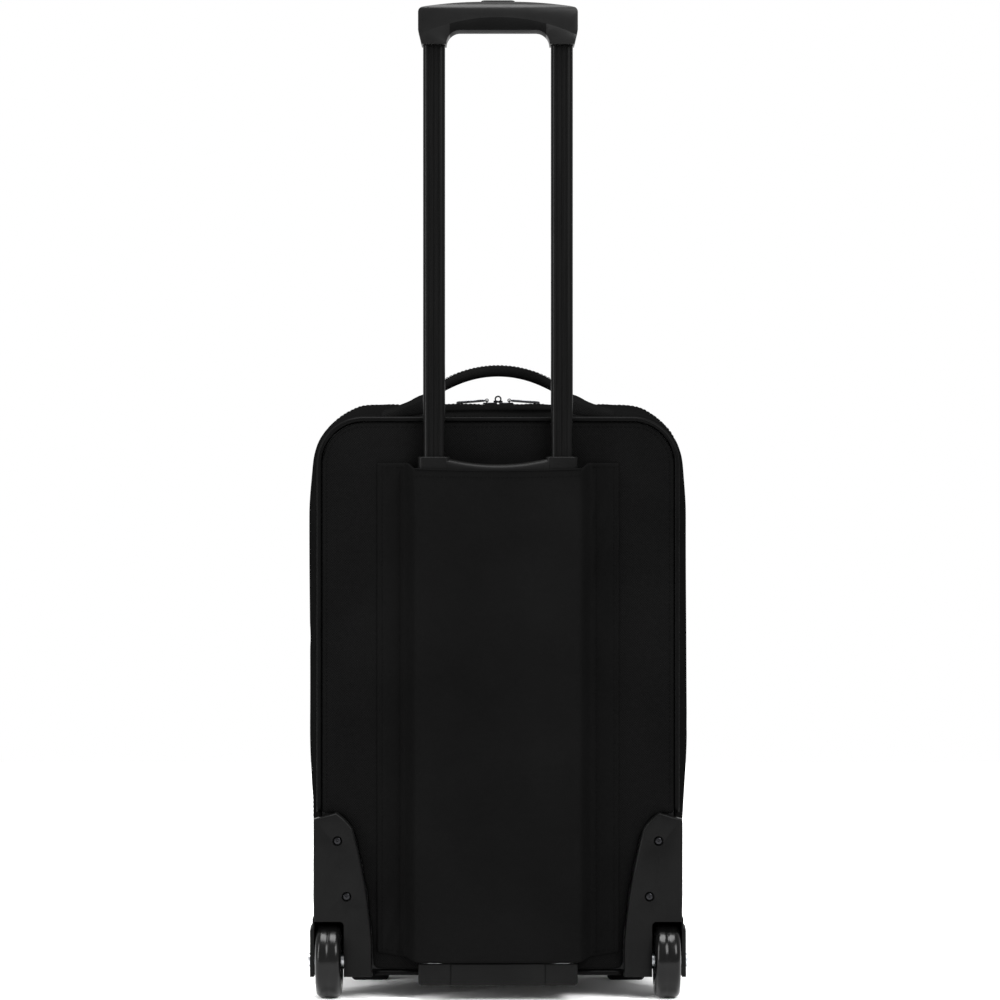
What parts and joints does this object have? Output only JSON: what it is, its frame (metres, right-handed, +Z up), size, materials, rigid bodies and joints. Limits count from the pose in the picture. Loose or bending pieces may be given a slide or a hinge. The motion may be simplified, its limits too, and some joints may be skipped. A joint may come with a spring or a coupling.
{
  "type": "rolling carry case",
  "caption": "Soft-sided upright rolling case with an inside laptop sleeve, a zipped lid and front pocket, corner wheels and a telescoping trolley handle.",
  "frame": {"origin": "on the floor, under the middle of the case's bounding box", "axes": "+Z up, +Y out of the back where the trolley tubes and wheels are, +X to the left seen from behind"},
  "size_m": [0.3598, 0.228, 0.9359],
  "materials": {
    "ballistic_fabric": "coarse black plain-woven polyester over foam",
    "cover_fabric": "black woven polyester, slightly smoother",
    "lining_fabric": "thin grey taffeta lining",
    "piping_vinyl": "satin black extruded vinyl cord",
    "zip_tape": "black woven zip tape with coil teeth",
    "zip_metal": "dark nickel-plated zinc casting",
    "stiffener_sheet": "black polypropylene sheet",
    "tube_metal": "satin black coated aluminium",
    "fixed_tube_metal": "plain extruded aluminium",
    "moulded_black": "fine-textured black ABS",
    "grip_plastic": "charcoal moulded plastic, soft sheen",
    "button_plastic": "charcoal moulded button",
    "glide_plastic": "natural acetal",
    "webbing": "black padded woven webbing",
    "tyre_rubber": "polished black polyurethane tread",
    "hub_plastic": "grey glass-filled nylon",
    "bearing_steel": "ground bearing steel",
    "axle_steel": "zinc-plated steel",
    "screw_steel": "black zinc-plated steel",
    "spring_steel": "spring wire",
    "foot_rubber": "moulded black rubber"
  },
  "bodies": {
    "case": {"back_panel": "ballistic_fabric", "back_board": "stiffener_sheet", "rear_gusset": "ballistic_fabric", "gusset_frame": "stiffener_sheet", "rear_piping": "piping_vinyl", "case_lining": "lining_fabric", "zip_half_case": "zip_tape", "laptop_sleeve": "lining_fabric", "tube_cover": "cover_fabric", "outer_tube_left": "fixed_tube_metal", "outer_tube_right": "fixed_tube_metal", "tube_bezel": "moulded_black", "tube_cup": "moulded_black", "tube_screws": "screw_steel", "carry_handle": "webbing", "carry_anchors": "moulded_black", "wheel_housing_left": "moulded_black", "wheel_housing_right": "moulded_black", "housing_screws": "screw_steel", "axle_left": "axle_steel", "axle_right": "axle_steel", "axle_spacers": "axle_steel", "foot_left": "foot_rubber", "foot_right": "foot_rubber", "foot_screws": "screw_steel", "lid_hinge_welt": "piping_vinyl"},
    "wheel_left": {"wheel_tyre_left": "tyre_rubber", "wheel_hub_left": "hub_plastic", "wheel_bearings_left": "bearing_steel"},
    "wheel_right": {"wheel_tyre_right": "tyre_rubber", "wheel_hub_right": "hub_plastic", "wheel_bearings_right": "bearing_steel"},
    "trolley_handle": {"inner_tube_left": "tube_metal", "inner_tube_right": "tube_metal", "grip_upper": "grip_plastic", "grip_lower": "grip_plastic", "grip_pins": "screw_steel", "glide_block_left": "glide_plastic", "glide_block_right": "glide_plastic", "latch_springs": "spring_steel", "button_spring": "spring_steel"},
    "lock_button": {"lock_button": "button_plastic", "release_yoke": "glide_plastic", "release_rod_left": "axle_steel", "release_rod_right": "axle_steel"},
    "latch_left": {"lock_latch_left": "axle_steel"},
    "latch_right": {"lock_latch_right": "axle_steel"},
    "lid": {"lid_gusset": "ballistic_fabric", "front_panel": "ballistic_fabric", "front_piping": "piping_vinyl", "lid_lining": "lining_fabric", "zip_half_lid": "zip_tape", "pocket_zip": "zip_tape"},
    "pocket_flap": {"pocket_flap": "ballistic_fabric"},
    "pocket_slider": {"pocket_slider": "zip_metal"},
    "pocket_pull": {"pocket_pull": "zip_metal"},
    "zip_slider_left": {"zip_slider_left": "zip_metal"},
    "zip_slider_right": {"zip_slider_right": "zip_metal"},
    "zip_pull_left": {"zip_pull_left": "zip_metal"},
    "zip_pull_right": {"zip_pull_right": "zip_metal"}
  },
  "joints": [
    {"name": "wheel_left_spin", "type": "hinge", "parent": "case", "child": "wheel_left", "pos_m": [0.159, 0.079, 0.035], "axis": [1, 0, 0], "continuous": true},
    {"name": "wheel_right_spin", "type": "hinge", "parent": "case", "child": "wheel_right", "pos_m": [-0.159, 0.079, 0.035], "axis": [1, 0, 0], "continuous": true},
    {"name": "handle_slide", "type": "slide", "parent": "case", "child": "trolley_handle", "axis": [0, 0, 1], "range_m": [-0.3837, 0]},
    {"name": "button_press", "type": "slide", "parent": "trolley_handle", "child": "lock_button", "axis": [0, 0, -1], "range_m": [0, 0.004], "stiffness_N_per_m": 1000, "springref_m": -0.004, "deforming": ["button_spring"]},
    {"name": "latch_left_draw", "type": "slide", "parent": "trolley_handle", "child": "latch_left", "axis": [-1, 0, 0], "range_m": [0, 0.0024]},
    {"name": "latch_right_draw", "type": "slide", "parent": "trolley_handle", "child": "latch_right", "axis": [1, 0, 0], "range_m": [0, 0.0024]},
    {"name": "lid_hinge", "type": "hinge", "parent": "case", "child": "lid", "pos_m": [0, -0.056, 0.02], "axis": [1, 0, 0], "range_deg": [0, 100]},
    {"name": "pocket_hinge", "type": "hinge", "parent": "lid", "child": "pocket_flap", "pos_m": [0, -0.0938, 0.0647], "axis": [1, 0, 0], "range_deg": [0, 90]},
    {"name": "zip_left_slide", "type": "slide", "parent": "case", "child": "zip_slider_left", "axis": [1, 0, 0], "range_m": [0, 0.1]},
    {"name": "zip_right_slide", "type": "slide", "parent": "case", "child": "zip_slider_right", "axis": [-1, 0, 0], "range_m": [0, 0.1]},
    {"name": "zip_pull_left_lift", "type": "hinge", "parent": "zip_slider_left", "child": "zip_pull_left", "pos_m": [0.011, -0.056, 0.5673], "axis": [0, -1, 0], "range_deg": [0, 95]},
    {"name": "zip_pull_right_lift", "type": "hinge", "parent": "zip_slider_right", "child": "zip_pull_right", "pos_m": [-0.011, -0.056, 0.5673], "axis": [0, 1, 0], "range_deg": [0, 95]},
    {"name": "pocket_slide", "type": "slide", "parent": "lid", "child": "pocket_slider", "axis": [0, 0, 1], "range_m": [0, 0.28]},
    {"name": "pocket_pull_lift", "type": "hinge", "parent": "pocket_slider", "child": "pocket_pull", "pos_m": [0.1458, -0.0934, 0.105], "axis": [0, -1, 0], "range_deg": [0, 65]}
  ],
  "couplings": [
    {"joint": "latch_left_draw", "follows": "button_press", "ratio": 0.6},
    {"joint": "latch_right_draw", "follows": "button_press", "ratio": 0.6}
  ]
}
